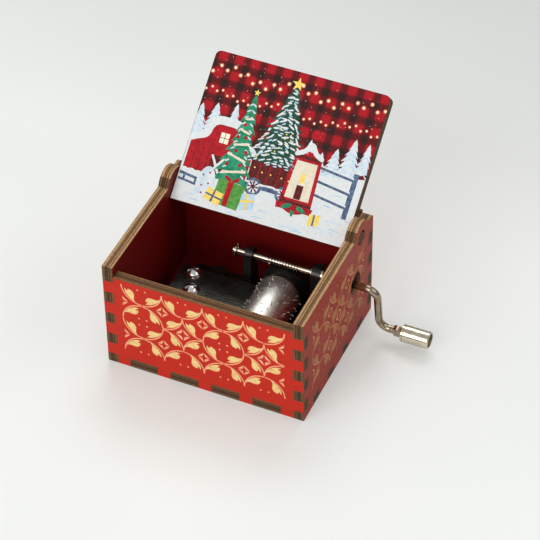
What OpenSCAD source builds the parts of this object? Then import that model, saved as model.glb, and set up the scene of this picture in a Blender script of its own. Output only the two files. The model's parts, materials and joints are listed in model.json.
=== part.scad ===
// Hand crank music box: a finger-jointed plywood case with a pegged lid,
// and a comb-and-drum movement driven by a worm on a bent wire crank.
// Millimetres. X runs along the front to the crank's side, Y to the back, Z up.
// The origin is the centre of the underside.

/* [Case] */
// Width of the case over its side panels
case_w = 64; // [58:1:90]
// Depth of the case over its front and back panels
case_d = 52; // [50:1:80]
// Height of the side panels' straight top edge
side_h = 38.9; // [33:0.1:60]
// Plywood thickness of every panel
ply_t = 3.4; // [2.8:0.1:4.2]
// Height of each finger of the front and back panels
finger_h = 4.45; // [3:0.05:5]
// Fingers of the front and back panels at each corner
finger_n = 4; // [3:1:4]
// Height of the front panel's top corners below its top edge
corner_drop = 2; // [1:0.5:4]
// Tabs of the bottom panel along each edge
tab_n = 4; // [2:1:5]
// Width of the bottom panel's tabs at the front and back
tab_wide = 9.1; // [5:0.1:10]
// Width of the bottom panel's tabs at the sides
tab_narrow = 4; // [3:0.1:7]
// Distance from the inner corner to the first tab
tab_margin = 4; // [3:0.5:6]

/* [Lid] */
// Opening angle of the lid in its rest pose, from closed
lid_open = 139.3; // [120:0.1:145]
// Distance of the hinge line from the back of the case
hinge_back = 9.1; // [8.5:0.1:14]
// Radius of the round hinge ears
ear_r = 5.5; // [4.5:0.1:8]
// Radius of the hinge holes
hinge_hole_r = 2.4; // [2:0.1:3]
// Radial clearance of the lid's pegs in their holes
peg_clear = 0.06; // [0.02:0.01:0.1]
// Width of the lid's pegs before their corners are rounded
peg_w = 3.4; // [2.8:0.1:4.5]
// Length of the lid behind the hinge line
lid_tail = 4.8; // [2.5:0.1:4.8]
// Gap between the lid and each side panel
lid_gap = 0.2; // [0.1:0.05:0.6]
// Distance of the closed lid's front edge from the front of the case
lid_inset = 0.5; // [0:0.1:3]
// Height of the side panels above the closed lid
lid_sunk = 0.15; // [0:0.05:1]
// Gap between the lid and the edge that it rests on
lid_rest_gap = 0.05; // [0.02:0.01:0.3]

/* [Crank] */
// Radius of the crank wire and of the worm shaft's journals
wire_r = 1.2; // [0.9:0.05:1.4]
// Distance from the side panel to the middle of the crank arm
arm_gap = 6.9; // [5:0.1:14]
// Length of the crank arm between its two axes
arm_len = 16.8; // [10:0.1:17.5]
// Lean of the crank arm from straight down, towards the back
arm_lean = 8.9; // [0:0.1:45]
// Middle radius of the wire's two bends
bend_r = 3.5; // [2:0.1:5]
// Distance from the arm to the knob's inner end
knob_gap = 7.4; // [6:0.1:12]
// Length of the knob
knob_len = 9; // [7:0.1:20]
// Radius of the knob
knob_r = 2.75; // [2.3:0.05:3]
// Radius of the crank hole in the side panel
crank_hole_r = 3.6; // [3:0.1:5]
// Height of the crank hole's centre above the crank axis
crank_hole_up = 0.9; // [-1:0.1:1.5]
// Radial running clearance of every shaft in its bearing
run_clear = 0.05; // [0.03:0.01:0.08]

/* [Drum] */
// Outer radius of the drum tube
drum_r = 6.8; // [5:0.1:8.2]
// Wall thickness of the drum tube
drum_wall = 0.7; // [0.5:0.05:1.2]
// Sideways position of the drum axis
drum_x = 9.1; // [7:0.1:9.5]
// Position of the drum's rear end
drum_rear_y = 8.3; // [8:0.1:9]
// Radius of the drum arbor
arbor_r = 1; // [0.7:0.05:1.5]
// Height of the pins above the drum's surface
pin_h = 0.5; // [0.3:0.05:0.8]
// Radius of each pin
pin_r = 0.18; // [0.12:0.01:0.25]
// Pins on each tooth's track
pins_per_track = 6; // [2:1:9]

/* [Comb] */
// Number of teeth
teeth_n = 18; // [12:1:19]
// Spacing of the teeth
tooth_pitch = 1; // [0.8:0.05:1.05]
// Width of the slots between the teeth
slot_w = 0.2; // [0.12:0.01:0.3]
// Thickness of the comb's base
comb_t = 2.2; // [1.5:0.1:3]
// Thickness of the teeth
tooth_t = 0.8; // [0.5:0.05:1.2]
// Length of the shortest tooth
tooth_short = 10.1; // [8:0.1:12]
// Length that each tooth adds to the one behind it
tooth_step = 0.34; // [0:0.01:0.4]
// Gap between the tooth tips and the passing pins
pluck_gap = 0.1; // [0.05:0.01:0.5]

/* [Worm gear] */
// Teeth of the worm wheel
wheel_n = 46; // [40:1:50]
// Spacing of the worm's crests along its axis
worm_pitch = 0.936; // [0.8:0.001:1]
// Number of threads on the worm
worm_starts = 2; // [1:1:2]
// Length of the threaded part of the worm
worm_len = 9.9; // [6:0.1:12]
// Depth of the worm's thread
thread_h = 0.4; // [0.3:0.01:0.45]
// Width of the worm wheel's teeth along its axis
wheel_t = 2.4; // [1.6:0.1:3]

/* [Bedplate] */
// Thickness of the bedplate
bed_t = 1.8; // [1.2:0.1:2.6]
// Gap between the bedplate and what turns above it
bed_gap = 0.5; // [0.3:0.1:1.5]
// Radius of the comb screws' heads
comb_head_r = 2.7; // [2:0.1:2.8]
// Radius of the comb screws' threads
comb_screw_r = 1.1; // [0.8:0.05:1.4]
// Radius of the small screws' threads
small_screw_r = 0.8; // [0.6:0.05:1]

/* [Hidden] */
$fn = 64;

// Case: inner half sizes and levels
in_x = case_w / 2 - ply_t;
in_y = case_d / 2 - ply_t;
lid_t = ply_t;
front_top = side_h - lid_sunk - lid_t - lid_rest_gap;
corner_z = front_top - corner_drop;
finger_gap = (corner_z - ply_t - finger_n * finger_h) / (finger_n - 1);
hinge_y = case_d / 2 - hinge_back;
hinge_z = front_top + lid_rest_gap + lid_t / 2;
// The back panel's inner top edge is the open lid's stop
stop_dy = in_y - hinge_y;
back_top = hinge_z + (lid_t / 2 + 3 * lid_rest_gap - stop_dy * sin(lid_open)) / cos(lid_open);
post_corner_r = 1.2;
big = 200;

// Movement: levels are above the bottom panel, which carries the bedplate
floor_z = ply_t;
worm_r = 1.35;
worm_root_r = worm_r - thread_h;
worm_pitch_r = worm_r - thread_h / 2;
wheel_pitch_r = wheel_n * worm_pitch / (2 * PI);
gear_clear = 0.08;
wheel_r = wheel_pitch_r + worm_pitch_r - worm_root_r - gear_clear / 2;
wheel_root_r = wheel_pitch_r + worm_pitch_r - worm_r - gear_clear;
lead = worm_pitch * worm_starts;
thread_lean = atan(lead / (2 * PI * worm_pitch_r));
drum_z = floor_z + bed_t + bed_gap + max(drum_r + pin_h, wheel_r);
bed_top = floor_z + bed_t;

// Drum group along Y, from the drum's rear end
drum_len = teeth_n * tooth_pitch + 0.7;
drum_front_y = drum_rear_y - drum_len;
cap_flange_t = 0.6;
cap_plug_t = 1.5;
rear_groove_t = 0.4;
rear_rim_t = 0.4;
hub_y = drum_rear_y + rear_groove_t + rear_rim_t;
hub_t = 2.6;
wheel_y = hub_y + hub_t + 0.1;
wheel_boss_t = 0.6;
lug_gap = 0.2;
lug_y = wheel_y + wheel_t + wheel_boss_t + lug_gap;
lug_t = 2.2;
bridge_gap = 0.5;
bridge_t = 1.6;
bridge_y = drum_front_y - cap_flange_t - bridge_gap - bridge_t;
arbor_out = 0.8;

// Crank shaft along X at the middle of the worm wheel
crank_y = wheel_y + wheel_t / 2;
crank_z = drum_z + wheel_pitch_r + worm_pitch_r;
left_post_x = -3.6;
left_post_t = 2.4;
right_post_x = 18.5;
right_post_t = 2.8;
shaft_end_x = -8.2;
clip_x = -7.05;
clip_t = 0.5;
clip_groove_r = wire_r - 0.35;
clip_r = 2.1;
shaft_join_x = 17.4;
spigot_r = wire_r - 0.4;
spigot_len = 2;
bush_r = wire_r + 1;
bush_in = 0.5;
bush_flange_t = 0.7;
arm_x = case_w / 2 + arm_gap;
knob_x = arm_x + knob_gap;
knob_recess = 1.5;
rivet_r = wire_r + 0.5;
rivet_t = 0.6;

// Comb in XY, from the tooth tips
comb_rear_y = drum_rear_y + 0.2;
comb_front_y = comb_rear_y - teeth_n * tooth_pitch;
tip_x = drum_x - drum_r - pin_h - pluck_gap;
comb_top = drum_z + 0.3;
comb_back_x = tip_x - 24.4;
function root_x(y) = tip_x - tooth_short - tooth_step * (comb_rear_y - y) / tooth_pitch;
seat_inset = 1.2;
comb_screw_at = [[tip_x - 20, comb_rear_y - 2.8], [tip_x - 17.5, comb_rear_y - 9.8]];
weight_n = 7;
damper_n = 9;

// Bedplate outline and fixings
bed_x0 = comb_back_x - 0.9;
bed_x1 = right_post_x + right_post_t + 1.4;
bed_y0 = bridge_y - 4.6;
bed_y1 = lug_y + lug_t + 1;
bed_corner_r = 2.5;
boss_r = 2.2;
boss_h = 3;
boss_at = [[bed_x1 - boss_r - 0.3, -9], [bed_x0 + boss_r + 1, comb_front_y - 3.4], [-14, bed_y1 - boss_r - 1.2]];
bridge_screw_dx = 6;
fit_clear = 0.02;

// ---- Shared shapes ----

// A flat panel cut in the XZ plane, standing from y to y + ply_t
module panel_xz(y) {
    translate([0, y + ply_t, 0]) rotate([90, 0, 0]) linear_extrude(ply_t) children();
}

// A flat panel cut in the YZ plane, standing from x to x + ply_t
module panel_yz(x) {
    translate([x, 0, 0]) rotate([90, 0, 90]) linear_extrude(ply_t) children();
}

// A cylinder along X or along Y from a start point
module rod_x(x, y, z, r, len) translate([x, y, z]) rotate([0, 90, 0]) cylinder(r = r, h = len);
module rod_y(x, y, z, r, len) translate([x, y, z]) rotate([-90, 0, 0]) cylinder(r = r, h = len);

// Level of the front and back panels' finger number i
function finger_z(i) = ply_t + i * (finger_h + finger_gap);

// Centre of bottom tab number i along an edge of half length h
function tab_at(i, h, w) = -h + tab_margin + w / 2 + i * (2 * h - 2 * tab_margin - w) / (tab_n - 1);

// The finger ends of the front and back panels at one corner, over a width w
module corner_fingers(x, w) {
    for (i = [0 : finger_n - 1])
        translate([x, finger_z(i)]) square([w, finger_h]);
}

// Slots along the bottom edge for the bottom panel's tabs
module tab_slots(h, w) {
    for (i = [0 : tab_n - 1])
        translate([tab_at(i, h, w) - w / 2, 0]) square([w, ply_t]);
}

// ---- Case ----

module front_back_outline(top) {
    difference() {
        union() {
            translate([-in_x, 0]) square([2 * in_x, top]);
            corner_fingers(-case_w / 2, ply_t);
            corner_fingers(in_x, ply_t);
        }
        tab_slots(in_x, tab_wide);
    }
}

module side_outline() {
    difference() {
        union() {
            translate([-case_d / 2, 0]) square([case_d - post_corner_r, side_h]);
            translate([-case_d / 2, 0]) square([case_d, side_h - post_corner_r]);
            translate([case_d / 2 - post_corner_r, side_h - post_corner_r]) circle(r = post_corner_r);
            translate([hinge_y, hinge_z]) circle(r = ear_r);
        }
        corner_fingers(-case_d / 2, ply_t);
        corner_fingers(in_y, ply_t);
        tab_slots(in_y, tab_narrow);
        translate([hinge_y, hinge_z]) circle(r = hinge_hole_r);
    }
}

module front_panel() {
    color([0.74, 0.13, 0.11]) panel_xz(-case_d / 2) front_back_outline(front_top);
}

module back_panel() {
    color([0.74, 0.13, 0.11]) panel_xz(in_y) front_back_outline(back_top);
}

module left_side_panel() {
    color([0.62, 0.14, 0.12]) panel_yz(-case_w / 2) side_outline();
}

module right_side_panel() {
    color([0.62, 0.14, 0.12]) panel_yz(in_x) difference() {
        side_outline();
        translate([crank_y, crank_z + crank_hole_up]) circle(r = crank_hole_r);
    }
}

module bottom_panel() {
    color([0.45, 0.3, 0.18]) difference() {
        linear_extrude(ply_t) union() {
            translate([-in_x, -in_y]) square([2 * in_x, 2 * in_y]);
            for (i = [0 : tab_n - 1]) {
                translate([tab_at(i, in_x, tab_wide) - tab_wide / 2, -case_d / 2]) square([tab_wide, case_d]);
                translate([-case_w / 2, tab_at(i, in_y, tab_narrow) - tab_narrow / 2]) square([case_w, tab_narrow]);
            }
        }
        for (p = boss_at) translate([p[0], p[1], 0]) screw_cut(fit_clear);
    }
}

// ---- Lid ----

// The lid lies in its own frame with the hinge line on X, shut towards -Y
module lid_flat() {
    len = hinge_y + case_d / 2 - lid_inset;
    half = in_x - lid_gap;
    corner_r = 1.8;
    linear_extrude(lid_t, center = true) union() {
        translate([-half, -len + corner_r]) square([2 * half, len - corner_r + lid_tail]);
        translate([-half + corner_r, -len]) square([2 * (half - corner_r), 2 * corner_r]);
        for (s = [-1, 1]) translate([s * (half - corner_r), -len + corner_r]) circle(r = corner_r);
    }
}

// The two pegs: square in section with their corners rounded to turn in the holes
module lid_pegs() {
    intersection() {
        cube([case_w, peg_w, lid_t], center = true);
        rotate([0, 90, 0]) cylinder(r = hinge_hole_r - peg_clear, h = case_w, center = true);
    }
}

module lid_panel() {
    color([0.70, 0.16, 0.14]) translate([0, hinge_y, hinge_z]) rotate([-lid_open, 0, 0]) union() {
        lid_flat();
        lid_pegs();
    }
}

// ---- Movement ----

// A countersunk screw standing on its head at the origin, with a radial allowance
module screw_cut(extra) {
    head_r = 2 * small_screw_r + 0.5;
    head_t = head_r - small_screw_r;
    translate([0, 0, -0.001]) cylinder(r1 = head_r + extra, r2 = small_screw_r + extra, h = head_t);
    cylinder(r = small_screw_r + extra, h = floor_z + bed_t + boss_h - 0.8 + extra);
}

module movement_screws() {
    head_r = 2 * small_screw_r + 0.5;
    color([0.75, 0.75, 0.76]) for (p = boss_at) translate([p[0], p[1], 0]) difference() {
        intersection() {
            screw_cut(0);
            translate([0, 0, 0.1]) cylinder(r = head_r, h = big);
        }
        cube([2 * head_r, 0.5, 1.2], center = true);
        cube([0.5, 2 * head_r, 1.2], center = true);
    }
}

// A post on the bedplate: a round eye at height z on a foot of half width w
module post_outline(y, z, eye_r, w) {
    translate([y, z]) circle(r = eye_r);
    polygon([[y - w, bed_top - 0.2], [y + w, bed_top - 0.2], [y + eye_r, z], [y - eye_r, z]]);
}

module bedplate_solid() {
    w = bed_x1 - bed_x0;
    d = bed_y1 - bed_y0;
    r = bed_corner_r;
    translate([0, 0, floor_z]) linear_extrude(bed_t) union() {
        translate([bed_x0 + r, bed_y0]) square([w - 2 * r, d]);
        translate([bed_x0, bed_y0 + r]) square([w, d - 2 * r]);
        for (x = [bed_x0 + r, bed_x1 - r], y = [bed_y0 + r, bed_y1 - r]) translate([x, y]) circle(r = r);
    }
    // Comb seat, cut back along the tooth roots
    translate([0, 0, floor_z]) linear_extrude(comb_top - comb_t - floor_z) polygon([
        [comb_back_x, comb_front_y], [root_x(comb_front_y) - seat_inset, comb_front_y],
        [root_x(comb_rear_y) - seat_inset, comb_rear_y], [comb_back_x, comb_rear_y]]);
    // Shaft posts
    translate([left_post_x, 0, 0]) rotate([90, 0, 90]) linear_extrude(left_post_t)
        post_outline(crank_y, crank_z, wire_r + 1.3, 3);
    translate([right_post_x, 0, 0]) rotate([90, 0, 90]) linear_extrude(right_post_t)
        post_outline(crank_y, crank_z, bush_r + 1.1, 3.4);
    // Lug behind the worm wheel
    translate([0, lug_y + lug_t, 0]) rotate([90, 0, 0]) linear_extrude(lug_t)
        post_outline(drum_x, drum_z, arbor_r + 1.8, 5);
    // Bosses for the screws from below
    for (p = boss_at) translate([p[0], p[1], floor_z]) cylinder(r = boss_r, h = bed_t + boss_h);
}

module bedplate() {
    color([0.07, 0.07, 0.075]) difference() {
        bedplate_solid();
        rod_x(left_post_x - 1, crank_y, crank_z, wire_r + run_clear, left_post_t + 2);
        rod_x(right_post_x - 1, crank_y, crank_z, bush_r + fit_clear, right_post_t + 2);
        rod_y(drum_x, lug_y - 1, drum_z, arbor_r + run_clear, lug_t + 2);
        for (p = boss_at) translate([p[0], p[1], 0]) screw_cut(fit_clear);
        for (p = comb_screw_at) translate([p[0], p[1], floor_z + 1]) cylinder(r = comb_screw_r + fit_clear, h = big);
        for (s = [-1, 1]) translate([drum_x + s * bridge_screw_dx, bridge_y - 2.1, floor_z + 0.4])
            cylinder(r = small_screw_r + fit_clear, h = big);
    }
}

module comb() {
    color([0.32, 0.33, 0.34]) difference() {
        translate([0, 0, comb_top - comb_t]) linear_extrude(comb_t) polygon([
            [comb_back_x, comb_front_y], [tip_x, comb_front_y], [tip_x, comb_rear_y], [comb_back_x, comb_rear_y]]);
        // The teeth are thinned from below
        translate([0, 0, comb_top - comb_t - 1]) linear_extrude(comb_t - tooth_t + 1) polygon([
            [root_x(comb_front_y - 1), comb_front_y - 1], [big, comb_front_y - 1],
            [big, comb_rear_y + 1], [root_x(comb_rear_y + 1), comb_rear_y + 1]]);
        for (i = [1 : teeth_n - 1]) {
            y = comb_front_y + i * tooth_pitch;
            translate([root_x(y), y - slot_w / 2, comb_top - comb_t - 1]) cube([big, slot_w, comb_t + 2]);
        }
        for (p = comb_screw_at) translate([p[0], p[1], 0]) cylinder(r = comb_screw_r + 0.15, h = big);
    }
}

// A slotted screw with a domed head seated at height z
module domed_screw(head_r, head_h, shank_r, shank_len) {
    dome_r = (head_r * head_r + head_h * head_h) / (2 * head_h);
    difference() {
        union() {
            intersection() {
                translate([0, 0, head_h - dome_r]) sphere(r = dome_r);
                cylinder(r = head_r, h = head_h);
            }
            translate([0, 0, -shank_len]) cylinder(r = shank_r, h = shank_len + 0.1);
        }
        translate([0, 0, head_h]) cube([2 * head_r, head_r / 4, head_h * 0.7], center = true);
    }
}

module comb_screws() {
    color([0.85, 0.86, 0.87]) for (p = comb_screw_at) translate([p[0], p[1], comb_top])
        rotate([0, 0, 35]) domed_screw(comb_head_r, 2, comb_screw_r, comb_top - floor_z - 1.4);
}

// Lead weights under the tips of the lowest teeth
module comb_weights() {
    color([0.35, 0.35, 0.37]) for (i = [0 : weight_n - 1]) {
        y = comb_front_y + (i + 0.5) * tooth_pitch;
        w = tooth_pitch - slot_w - 0.1;
        translate([tip_x - 3.6, y - w / 2, comb_top - tooth_t - 1.6 + 0.15 * i]) cube([2.2, w, 1.6 - 0.15 * i]);
    }
}

// Damper feathers: a thin leg glued under each low tooth near its tip
module comb_dampers() {
    color([0.8, 0.8, 0.75]) for (i = [0 : damper_n - 1]) {
        y = comb_front_y + (i + 0.5) * tooth_pitch;
        w = 0.3;
        translate([tip_x - 1.1, y - w / 2, comb_top - tooth_t - 0.9]) cube([0.25, w, 0.9]);
    }
}

module bearing_bridge() {
    eye_r = arbor_r + 1.8;
    foot_t = 1.2;
    foot_d = 4.2;
    color([0.6, 0.6, 0.62]) difference() {
        union() {
            translate([0, bridge_y + bridge_t, 0]) rotate([90, 0, 0]) linear_extrude(bridge_t) union() {
                translate([drum_x, drum_z]) circle(r = eye_r);
                translate([drum_x - eye_r, bed_top]) square([2 * eye_r, drum_z - bed_top]);
            }
            translate([drum_x - bridge_screw_dx - 2, bridge_y + bridge_t - foot_d, bed_top])
                cube([2 * bridge_screw_dx + 4, foot_d, foot_t]);
        }
        rod_y(drum_x, bridge_y - 1, drum_z, arbor_r + run_clear, bridge_t + 2);
        for (s = [-1, 1]) translate([drum_x + s * bridge_screw_dx, bridge_y - 2.1, 0])
            translate([0, 0, floor_z]) cylinder(r = small_screw_r + 0.1, h = 10);
    }
}

module bridge_screws() {
    color([0.8, 0.8, 0.81]) for (s = [-1, 1])
        translate([drum_x + s * bridge_screw_dx, bridge_y - 2.1, bed_top + 1.2])
            domed_screw(1.5, 1, small_screw_r, bed_t + 0.6);
}

module crank_bush() {
    color([0.78, 0.76, 0.7]) difference() {
        union() {
            rod_x(right_post_x - bush_in, crank_y, crank_z, bush_r, right_post_t + bush_in);
            rod_x(right_post_x + right_post_t, crank_y, crank_z, bush_r + 0.7, bush_flange_t);
        }
        rod_x(right_post_x - 2, crank_y, crank_z, wire_r + run_clear, right_post_t + 4);
    }
}

// ---- Drum group, turning on the arbor ----

module drum_tube() {
    color([0.78, 0.78, 0.79]) difference() {
        rod_y(drum_x, drum_front_y, drum_z, drum_r, drum_len);
        rod_y(drum_x, drum_front_y - 1, drum_z, drum_r - drum_wall, drum_len + 2);
    }
}

// The pins of each track stand at angles that a simple rule spreads round the drum
module drum_pins() {
    depth = 0.4;
    function pin_angle(track, k) = 360 * ((k + 0.37 * sin(97 * track + 61 * k)) / pins_per_track)
        + 20 * track + 7 * (track % 3);
    color([0.86, 0.86, 0.87]) for (t = [0 : teeth_n - 1], k = [0 : pins_per_track - 1])
        translate([drum_x, comb_front_y + (t + 0.5) * tooth_pitch, drum_z]) rotate([0, pin_angle(t, k), 0])
            translate([0, 0, drum_r - depth]) cylinder(r = pin_r, h = pin_h + depth, $fn = 16);
}

// A drum cap: a disc with a plug that fills the tube's end
module cap_plug(y, t) {
    rod_y(drum_x, y, drum_z, drum_r - drum_wall - fit_clear, t);
}

module drum_front_cap() {
    color([0.6, 0.6, 0.61]) difference() {
        union() {
            rod_y(drum_x, drum_front_y - cap_flange_t, drum_z, drum_r, cap_flange_t);
            cap_plug(drum_front_y, cap_plug_t);
        }
        rod_y(drum_x, drum_front_y - 2, drum_z, arbor_r + fit_clear, cap_plug_t + 4);
    }
}

module drum_rear_cap() {
    color([0.7, 0.7, 0.71]) difference() {
        union() {
            cap_plug(drum_rear_y - cap_plug_t, cap_plug_t);
            rod_y(drum_x, drum_rear_y, drum_z, drum_r - 0.3, rear_groove_t);
            rod_y(drum_x, drum_rear_y + rear_groove_t, drum_z, drum_r + 0.1, rear_rim_t);
        }
        rod_y(drum_x, drum_rear_y - 3, drum_z, arbor_r + fit_clear, 6);
    }
}

module drum_arbor() {
    front = bridge_y - arbor_out;
    rear = lug_y + lug_t + arbor_out;
    color([0.72, 0.72, 0.74]) rod_y(drum_x, front, drum_z, arbor_r, rear - front);
}

// Gaps between the wheel's teeth lean with the worm's thread
module wheel_gap() {
    mid = (wheel_r + wheel_root_r) / 2;
    top_w = 0.62;
    low_w = 0.36;
    over = 0.3;
    depth = wheel_r - wheel_root_r;
    slope = (top_w - low_w) / 2 / depth;
    rotate([0, 0, -thread_lean]) rotate([90, 0, 0])
        linear_extrude(3 * wheel_t, center = true) polygon([
            [-low_w / 2, mid - depth / 2], [low_w / 2, mid - depth / 2],
            [top_w / 2 + slope * over, mid + depth / 2 + over], [-top_w / 2 - slope * over, mid + depth / 2 + over]]);
}

module worm_wheel() {
    hub_r = drum_r - 0.5;
    color([0.08, 0.08, 0.085]) difference() {
        union() {
            difference() {
                rod_y(drum_x, wheel_y, drum_z, wheel_r, wheel_t);
                for (i = [0 : wheel_n - 1])
                    translate([drum_x, wheel_y + wheel_t / 2, drum_z]) rotate([0, i * 360 / wheel_n, 0]) wheel_gap();
            }
            rod_y(drum_x, hub_y, drum_z, hub_r, wheel_y - hub_y);
            rod_y(drum_x, hub_y + 1, drum_z, hub_r + 0.3, 0.5);
            rod_y(drum_x, wheel_y + wheel_t, drum_z, 2.6, wheel_boss_t);
        }
        rod_y(drum_x, hub_y - 1, drum_z, arbor_r + fit_clear, lug_y - hub_y + 2);
    }
}

// ---- Crank group ----

// One thread of the worm: a trapezium swept along a right-hand helix about X,
// set so that a crest stands straight down over the drum axis
module worm_thread(start) {
    steps = 20;
    x0 = -worm_len / 2;
    total = floor(worm_len / lead * steps);
    root_w = 0.5;
    crest_w = 0.22;
    sunk = 0.1;
    profile = [[-root_w / 2, worm_root_r - sunk], [-root_w / 2, worm_root_r], [-crest_w / 2, worm_r],
        [crest_w / 2, worm_r], [root_w / 2, worm_root_r], [root_w / 2, worm_root_r - sunk]];
    n = len(profile);
    points = [for (i = [0 : total], q = profile)
        let (x = x0 + lead * i / steps, a = 270 + 360 * x / lead + 360 * start / worm_starts)
        [x + q[0], q[1] * cos(a), q[1] * sin(a)]];
    sides = [for (i = [0 : total - 1], j = [0 : n - 1])
        let (a = i * n + j, b = i * n + (j + 1) % n) each [[a, b, b + n], [a, b + n, a + n]]];
    caps = [[for (j = [n - 1 : -1 : 0]) j], [for (j = [0 : n - 1]) total * n + j]];
    polyhedron(points, concat(sides, caps));
}

module worm_shaft() {
    worm_x = drum_x - worm_len / 2 - 0.3;
    worm_end = drum_x + worm_len / 2 + 0.3;
    tip = 0.4;
    color([0.8, 0.8, 0.81]) difference() {
        union() {
            translate([shaft_end_x, crank_y, crank_z]) rotate([0, 90, 0])
                cylinder(r1 = wire_r - tip, r2 = wire_r, h = tip);
            rod_x(shaft_end_x + tip, crank_y, crank_z, wire_r, clip_x - shaft_end_x - tip);
            rod_x(clip_x, crank_y, crank_z, clip_groove_r, clip_t);
            rod_x(clip_x + clip_t, crank_y, crank_z, wire_r, worm_x - clip_x - clip_t);
            rod_x(worm_x, crank_y, crank_z, worm_root_r, worm_end - worm_x);
            rod_x(worm_end, crank_y, crank_z, wire_r, shaft_join_x - worm_end);
            translate([drum_x, crank_y, crank_z]) for (s = [0 : worm_starts - 1]) worm_thread(s);
        }
        rod_x(shaft_join_x - spigot_len, crank_y, crank_z, spigot_r + fit_clear, spigot_len + 1);
    }
}

module shaft_clip() {
    color([0.3, 0.3, 0.32]) difference() {
        rod_x(clip_x + fit_clear, crank_y, crank_z, clip_r, clip_t - 2 * fit_clear);
        rod_x(clip_x - 1, crank_y, crank_z, clip_groove_r + fit_clear, clip_t + 2);
        translate([clip_x - 1, crank_y - clip_groove_r * 0.8, crank_z])
            cube([clip_t + 2, clip_groove_r * 1.6, clip_r + 1]);
    }
}

// The wire in a frame with the crank axis on X and the arm straight down
module crank_wire_flat() {
    rod_x(shaft_join_x - spigot_len, 0, 0, spigot_r, spigot_len);
    rod_x(shaft_join_x, 0, 0, wire_r, arm_x - bend_r - shaft_join_x);
    translate([arm_x - bend_r, 0, -bend_r]) rotate([90, 0, 0]) rotate_extrude(angle = 90)
        translate([bend_r, 0]) circle(r = wire_r);
    translate([arm_x, 0, bend_r - arm_len]) cylinder(r = wire_r, h = arm_len - 2 * bend_r);
    translate([arm_x + bend_r, 0, bend_r - arm_len]) rotate([90, 0, 0]) rotate([0, 0, 180])
        rotate_extrude(angle = 90) translate([bend_r, 0]) circle(r = wire_r);
    rivet_x = knob_x + knob_len - knob_recess + run_clear;
    rod_x(arm_x + bend_r, 0, -arm_len, wire_r, rivet_x - arm_x - bend_r);
    rod_x(rivet_x, 0, -arm_len, rivet_r, rivet_t);
    // Flattened spot that keeps the knob in place
    intersection() {
        translate([knob_x - 1.5, 0, -arm_len]) rotate([90, 0, 0])
            cylinder(r = wire_r + 0.55, h = 3 * wire_r, center = true);
        translate([knob_x - 1.5, 0, -arm_len]) cube([2.2, 1.5 * wire_r, 4 * wire_r], center = true);
    }
}

module crank_wire() {
    color([0.72, 0.70, 0.64]) translate([0, crank_y, crank_z]) rotate([arm_lean, 0, 0]) crank_wire_flat();
}

module crank_knob() {
    groove_x = 0.7;
    chamfer = 0.25;
    color([0.8, 0.78, 0.68]) translate([0, crank_y, crank_z]) rotate([arm_lean, 0, 0])
        translate([knob_x, 0, -arm_len]) rotate([0, 90, 0]) difference() {
            rotate_extrude() polygon([
                [wire_r + run_clear, 0], [knob_r - chamfer, 0], [knob_r, chamfer],
                [knob_r, groove_x], [knob_r - 0.2, groove_x + 0.1], [knob_r, groove_x + 0.2],
                [knob_r, knob_len - chamfer], [knob_r - chamfer, knob_len],
                [rivet_r + 0.45, knob_len], [rivet_r + 0.45, knob_len - knob_recess],
                [wire_r + run_clear, knob_len - knob_recess]]);
        }
}

front_panel();
back_panel();
left_side_panel();
right_side_panel();
bottom_panel();
lid_panel();
bedplate();
movement_screws();
comb();
comb_screws();
comb_weights();
comb_dampers();
bearing_bridge();
bridge_screws();
crank_bush();
drum_tube();
drum_pins();
drum_front_cap();
drum_rear_cap();
drum_arbor();
worm_wheel();
worm_shaft();
shaft_clip();
crank_wire();
crank_knob();
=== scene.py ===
# %% [markdown]
# # A hand crank music box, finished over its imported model
#
# The frame brings in every hard part of the music box at its true size and
# place: five plywood panels, the lid and the little cast movement. This lesson
# gives those parts their looks. Parts whose shape is right keep their mesh and
# get a worked-out material. Panels that carry laser engraving are rebuilt from
# a copy of their mesh, because an engraved line is a real groove in the wood.
# Every size below is in metres, so `MM` turns millimetres into metres.

# %% Load the frame
import json
import math
import random

import bpy
from mathutils import Matrix, Vector


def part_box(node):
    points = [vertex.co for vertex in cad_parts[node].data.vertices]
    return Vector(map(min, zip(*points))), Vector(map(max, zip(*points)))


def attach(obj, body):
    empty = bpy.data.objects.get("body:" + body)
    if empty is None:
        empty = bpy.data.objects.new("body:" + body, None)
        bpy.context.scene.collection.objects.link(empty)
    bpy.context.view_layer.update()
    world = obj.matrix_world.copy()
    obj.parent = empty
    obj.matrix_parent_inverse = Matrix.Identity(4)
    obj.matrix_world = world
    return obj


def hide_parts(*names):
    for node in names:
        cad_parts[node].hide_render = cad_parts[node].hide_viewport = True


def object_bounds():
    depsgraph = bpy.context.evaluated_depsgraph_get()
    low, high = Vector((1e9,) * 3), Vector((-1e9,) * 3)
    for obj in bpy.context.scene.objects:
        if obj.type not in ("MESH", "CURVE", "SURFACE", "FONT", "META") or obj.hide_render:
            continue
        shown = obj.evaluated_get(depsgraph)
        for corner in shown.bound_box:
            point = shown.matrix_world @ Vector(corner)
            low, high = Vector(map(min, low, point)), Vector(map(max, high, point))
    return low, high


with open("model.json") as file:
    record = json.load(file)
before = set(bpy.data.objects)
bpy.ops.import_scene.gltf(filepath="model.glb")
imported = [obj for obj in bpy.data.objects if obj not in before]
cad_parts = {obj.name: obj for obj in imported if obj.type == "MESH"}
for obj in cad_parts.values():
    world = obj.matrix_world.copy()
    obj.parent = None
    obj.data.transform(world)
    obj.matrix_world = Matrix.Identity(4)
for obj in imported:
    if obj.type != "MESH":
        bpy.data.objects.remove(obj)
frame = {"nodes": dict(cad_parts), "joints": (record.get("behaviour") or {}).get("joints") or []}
cad_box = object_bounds()
NODES = frame["nodes"]
MM = 0.001
print("parts in the frame:", len(NODES))

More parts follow.
